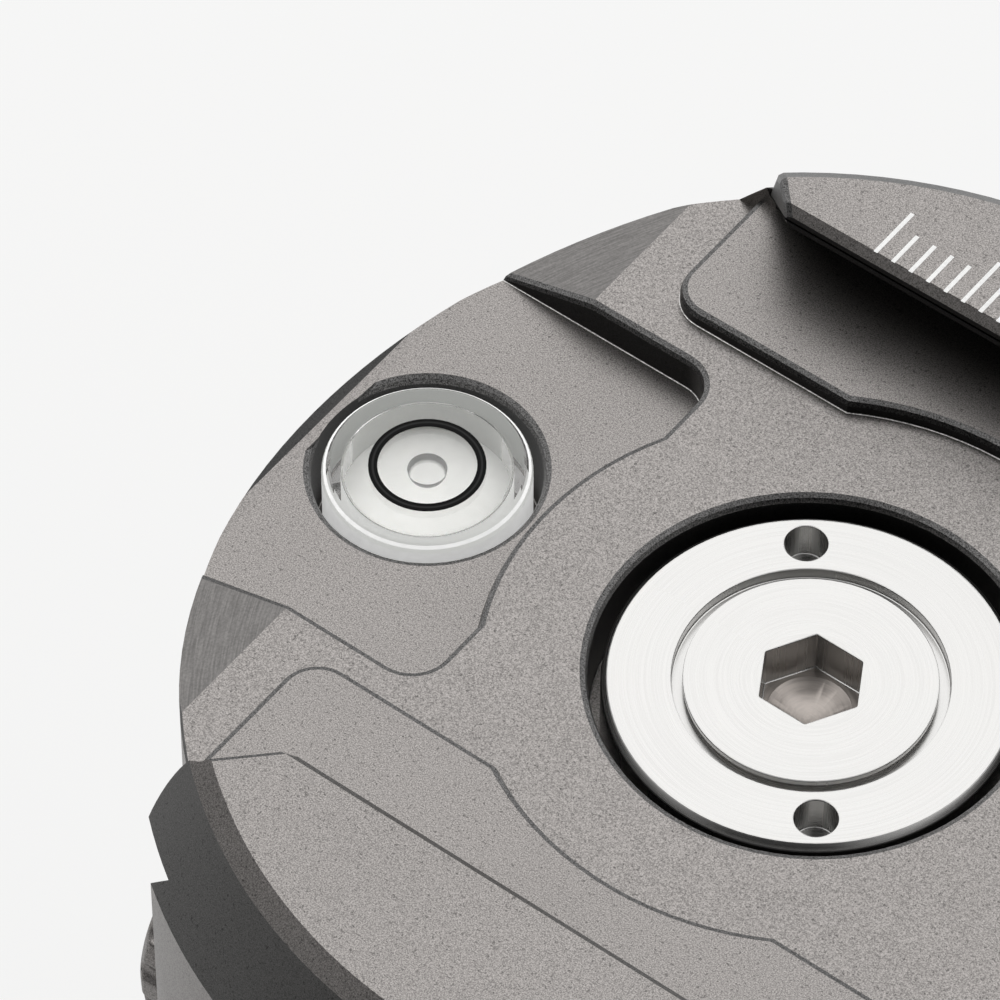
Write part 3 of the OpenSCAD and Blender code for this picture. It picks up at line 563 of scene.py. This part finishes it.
def is_outside(normal, centre):
    reach = JAW_OUTSIDE if centre.y < JAW_SIDE else BODY_OUTSIDE
    return normal.xy.dot(centre.xy) >= 0 and centre.xy.length > reach


PARTINGS = ((PAINTED_SHADE_RIM, is_slope), (-LIP_END, is_under_lip), (LIP_END, is_under_lip))


def sort_clamp(normal, centre):
    if is_slope(normal, centre):
        if centre.x > 0 or abs(centre.y) > LEVEL_SIDE:
            return SLOPE
        return WALL if centre.x < PAINTED_SHADE_RIM else MAIN
    if FLANK_LOW < normal.z < EDGE_LOW:
        return FLANK
    if is_outside(normal, centre) or (is_under_lip(normal, centre) and abs(centre.x) > LIP_END):
        return MAIN
    # Undercuts and upright faces take the walls' painted shade
    undercut = normal.z < -UPRIGHT and centre.z > DISC_TOP + MM
    if undercut or abs(normal.z) < UPRIGHT:
        return WALL
    return EDGE if EDGE_LOW < normal.z < EDGE_HIGH and not is_lip_edge(normal, centre) else MAIN


SOCKET_REACH, SOCKET_DEPTH = 2.7 * MM, 0.5 * MM
WINDOW_REACH, VIAL_OUTSIDE = 0.5 * MM, 4.6 * MM
BUBBLE_REACH = 1.2 * MM


def sort_screw(normal, centre):
    """The bottom of the hex socket."""
    deep = centre.xy.length < SOCKET_REACH and centre.z < DISC_TOP - SOCKET_DEPTH
    return SOCKET if deep and normal.z > 0.3 else MAIN


def from_level(centre):
    return Vector((centre.x - VIAL_X, centre.y)).length


def sort_vial(normal, centre):
    """The round window stays clear; the wall and its outside have finishes of their own."""
    if from_level(centre) < WINDOW_REACH:
        return MAIN
    return RIM if from_level(centre) > VIAL_OUTSIDE else CUP


def sort_liquid(normal, centre):
    return SKIN if from_level(centre) < BUBBLE_REACH and abs(normal.z) < 0.999 else MAIN


# The clamp's painted shade and painted highlight finishes, for EDGE, ROOT, SLOPE, WALL and FLANK
CLAMP_FINISHES = (edge_painted_shade, root_painted_highlight, milled_slope_painted_shade, wall_painted_shade, flank_painted_shade)
# Sharp angle, reach from the axis and root width that the clamp's two pieces share
CLAMP_EDGES = {"angle": 50.0, "reach": 27.5 * MM, "root": 0.05 * MM}

# Widths in millimetres of the broken edges of pieces that have one finish
BROKEN_EDGES = {
    "base_plate": 0.2, "housing": 0.25, "housing_floor": 0.15, "tripod_bushing": 0.15,
    "pan_washer": 0.1, "ball": 0.2, "lock_bushing": 0.15, "lock_knob_core": 0.2,
    "lock_knob_grip": 0.2, "lock_knob_cap": 0.2, "friction_knob": 0.15, "pan_lock_knob": 0.15,
    "jaw_washer": 0.15, "retaining_disc": 0.06, "clamp_knob_core": 0.15, "clamp_knob_grip": 0.15,
    "clamp_knob_cap": 0.15, "guide_pins": 0.1, "clamp_screw": 0.1,
}


def finish_copies():
    finished_copy("clamp_body", 0.36 * MM, finishes=CLAMP_FINISHES, sort=sort_clamp, partings=PARTINGS,
                  **CLAMP_EDGES)
    finished_copy("movable_jaw", 0.3 * MM, finishes=CLAMP_FINISHES, sort=sort_clamp, **CLAMP_EDGES)
    for node, width in BROKEN_EDGES.items():
        finished_copy(node, width * MM)
    finished_copy("stem_screw", 0.06 * MM, finishes=(None, None, socket_painted_shade), sort=sort_screw)
    finished_copy("level_vial", 0.12 * MM, finishes=(None, None, vial_cup_painted_glow, vial_rim_painted_glow), sort=sort_vial)
    finished_copy("level_liquid", 0.02 * MM, finishes=(None, None, bubble_rim_painted_shade), sort=sort_liquid)


# Studio

# The softbox hangs where the flat top of the clamp mirrors the camera
MIRRORED = Vector((-CAMERA_BACK.x, -CAMERA_BACK.y, CAMERA_BACK.z))
BOX_DISTANCE, BOX_SIZE, BOX_POWER = 0.6, 1.15, 5.75

# The room pales from the camera's side to the far side, by the cosine to the level way there
AWAY = Vector((-0.6105, 0.7920, 0.0))
ROOM_TURN, ROOM_LIGHT = (-0.45, 0.3), (0.04, 0.3)
# Pale patches of the room: direction, cosine where each one starts, brightness
SIDE_GLOWS = (((-0.72, -0.52, 0.46), 0.75, 0.42), ((0.80, 0.35, 0.50), 0.6, 0.75))
GLOW_FULL = 0.95
BACKDROP, BACKDROP_TOP = (0.94, 0.94, 0.935, 1.0), 0.2

# The floor that the camera sees is mostly glow; the rest of it takes the shadow
FLOOR_RADIUS, FLOOR_Z = 4.0, -0.0002
FLOOR_GREY, FLOOR_GLOW = (0.8, 0.8, 0.8, 1.0), (0.985, 0.985, 0.98, 1.0)
FLOOR_SHARE, FLOOR_SHINE = 0.74, 0.28


def make_softbox():
    middle = Vector((0.0, 0.0, DISC_TOP))
    place = middle + BOX_DISTANCE * MIRRORED
    data = bpy.data.lights.new("softbox", "AREA")
    data.shape = "SQUARE"
    data.size = BOX_SIZE
    data.energy = BOX_POWER
    lamp = linked("softbox", data)
    lamp.location = place
    lamp.rotation_mode = "QUATERNION"
    lamp.rotation_quaternion = (middle - place).to_track_quat("-Z", "Y")
    lamp.visible_camera = False


def backdrop_rays(tree, shine):
    """1 for rays that show the background, and that share for glossy rays."""
    path = add(tree, "ShaderNodeLightPath").outputs
    through = sums(tree, "MAXIMUM", path["Is Camera Ray"], path["Is Transmission Ray"])
    return sums(tree, "MAXIMUM", through, sums(tree, "MULTIPLY", path["Is Glossy Ray"], shine))


def make_room():
    scene.world = bpy.data.worlds.new("studio")
    tree = empty_tree(scene.world)
    way = add(tree, "ShaderNodeTexCoord").outputs["Generated"]
    level = span(tree, vectors(tree, "DOT_PRODUCT", way, AWAY)["Value"], ROOM_TURN, ROOM_LIGHT)
    for aim, start, strength in SIDE_GLOWS:
        near = vectors(tree, "DOT_PRODUCT", way, Vector(aim).normalized())["Value"]
        level = sums(tree, "MAXIMUM", level, span(tree, near, (start, GLOW_FULL), (0.0, strength)))
    height = add(tree, "ShaderNodeSeparateXYZ", Vector=way).outputs["Z"]
    low = sums(tree, "LESS_THAN", height, BACKDROP_TOP)
    seen = sums(tree, "MULTIPLY", low, backdrop_rays(tree, 0.0))
    room = add(tree, "ShaderNodeBackground", Color=(1.0, 1.0, 1.0, 1.0), Strength=level)
    wall = add(tree, "ShaderNodeBackground", Color=BACKDROP)
    add(tree, "ShaderNodeOutputWorld", Surface=mixed_shaders(tree, seen, room, wall))


def make_floor():
    bpy.ops.mesh.primitive_circle_add(vertices=96, radius=FLOOR_RADIUS, fill_type="NGON",
                                      location=(0, 0, FLOOR_Z))
    floor = bpy.context.object
    floor.name = "floor"
    pale = bpy.data.materials.new("pale_floor")
    tree = empty_tree(pale)
    ground = add(tree, "ShaderNodeBsdfDiffuse", Color=FLOOR_GREY)
    glow = add(tree, "ShaderNodeEmission", Color=FLOOR_GLOW, Strength=1.0)
    share = sums(tree, "MULTIPLY", backdrop_rays(tree, FLOOR_SHINE), FLOOR_SHARE)
    add(tree, "ShaderNodeOutputMaterial", Surface=mixed_shaders(tree, share, ground, glow))
    floor.data.materials.append(pale)


# Ticks on the fixed jaw, and the springs behind the movable one

TICKS_START = (-10 * MM, 18.45 * MM, JAW_TOP)
COIL, WIRE = 2.6 * MM, 0.3 * MM


def lay_out(tree, out, points, instance, finish, **values):
    """Sets the instance on each point, makes the result real and gives it its finish."""
    placed = add(tree, "GeometryNodeInstanceOnPoints", Points=points, Instance=instance, **values)
    whole = add(tree, "GeometryNodeRealizeInstances", Geometry=placed.outputs[0])
    painted = add(tree, "GeometryNodeSetMaterial", Geometry=whole.outputs[0], Material=finish)
    fill(tree, out, Mesh=painted.outputs[0])


def ticks_tree():
    tree, given, out = new_group(
        "ticks", "GeometryNodeTree",
        [("Count", COUNT, 21), ("Pitch", NUMBER, MM), ("Every", COUNT, 5), ("Long", NUMBER, 3 * MM),
         ("Short", NUMBER, 2 * MM), ("Width", NUMBER, 0.22 * MM), ("Thickness", NUMBER, 0.02 * MM),
         ("Start", VECTOR, None), ("Finish", FINISH, None)],
        [("Mesh", MESH)])
    step = add(tree, "ShaderNodeCombineXYZ", X=given["Pitch"]).outputs[0]
    line = add(tree, "GeometryNodeMeshLine", Count=given["Count"], Start_Location=given["Start"],
               Offset=step).outputs[0]
    index = tree.nodes.new("GeometryNodeInputIndex").outputs[0]
    is_long = sums(tree, "LESS_THAN", sums(tree, "MODULO", index, given["Every"]), 0.5)
    spare = sums(tree, "SUBTRACT", given["Long"], given["Short"])
    length = sums(tree, "MULTIPLY_ADD", is_long, spare, given["Short"])
    half = add(tree, "ShaderNodeCombineXYZ", Y=sums(tree, "MULTIPLY", length, 0.5)).outputs[0]
    moved = add(tree, "GeometryNodeSetPosition", Geometry=line, Offset=half).outputs[0]
    size = add(tree, "ShaderNodeCombineXYZ", X=given["Width"], Y=length, Z=given["Thickness"]).outputs[0]
    block = add(tree, "GeometryNodeMeshCube", Size=(1.0, 1.0, 1.0)).outputs[0]
    lay_out(tree, out, moved, block, given["Finish"], Scale=size)
    return tree


def springs_tree():
    tree, given, out = new_group(
        "springs", "GeometryNodeTree",
        [("Turns", NUMBER, 7.0), ("Radius", NUMBER, COIL), ("Wire", NUMBER, WIRE),
         ("Length", NUMBER, 11 * MM), ("Seat", VECTOR, None), ("Apart", NUMBER, 20 * MM),
         ("Finish", FINISH, None)],
        [("Mesh", MESH)])
    coil = add(tree, "GeometryNodeCurveSpiral", Resolution=40, Rotations=given["Turns"],
               Start_Radius=given["Radius"], End_Radius=given["Radius"], Height=given["Length"]).outputs[0]
    wire = add(tree, "GeometryNodeCurvePrimitiveCircle", Resolution=10, Radius=given["Wire"]).outputs[0]
    tube = add(tree, "GeometryNodeCurveToMesh", Curve=coil, Profile_Curve=wire, Fill_Caps=True).outputs[0]
    laid = add(tree, "GeometryNodeTransform", Geometry=tube, Translation=given["Seat"],
               Rotation=LYING).outputs[0]
    offset = add(tree, "ShaderNodeCombineXYZ", X=given["Apart"]).outputs[0]
    pair = add(tree, "GeometryNodeMeshLine", Count=2, Offset=offset).outputs[0]
    lay_out(tree, out, pair, laid, given["Finish"])
    return tree


def grown(name, tree, **values):
    """A plain mesh piece grown by a geometry tree with those inputs."""
    seed = linked(name + "_seed", bpy.data.meshes.new(name + "_seed"))
    grow = seed.modifiers.new("grow", "NODES")
    grow.node_group = tree
    for item in tree.interface.items_tree:
        if item.in_out == "INPUT" and item.name in values:
            grow[item.identifier] = values[item.name]
    graph = bpy.context.evaluated_depsgraph_get()
    mesh = bpy.data.meshes.new_from_object(seed.evaluated_get(graph))
    bpy.data.objects.remove(seed)
    mesh.name = name
    return linked(name, mesh)


def make_ticks():
    ticks = grown("jaw_ticks", ticks_tree(), Start=TICKS_START, Finish=tick_white)
    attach(ticks, "clamp")


def make_springs():
    low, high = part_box("jaw_springs")
    outside = COIL + WIRE
    seat = (low.x + outside, high.y - WIRE, (low.z + high.z) / 2)
    springs = grown("jaw_springs_wound", springs_tree(), Seat=seat, Length=high.y - low.y - 2 * WIRE,
                    Apart=high.x - low.x - 2 * outside, Finish=plated)
    springs.data.shade_smooth()
    springs.data.set_sharp_from_angle(angle=math.radians(50))
    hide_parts("jaw_springs")
    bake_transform(springs)


make_camera()
make_softbox()
make_room()
make_floor()
dress_nodes()
finish_copies()
make_ticks()
make_springs()
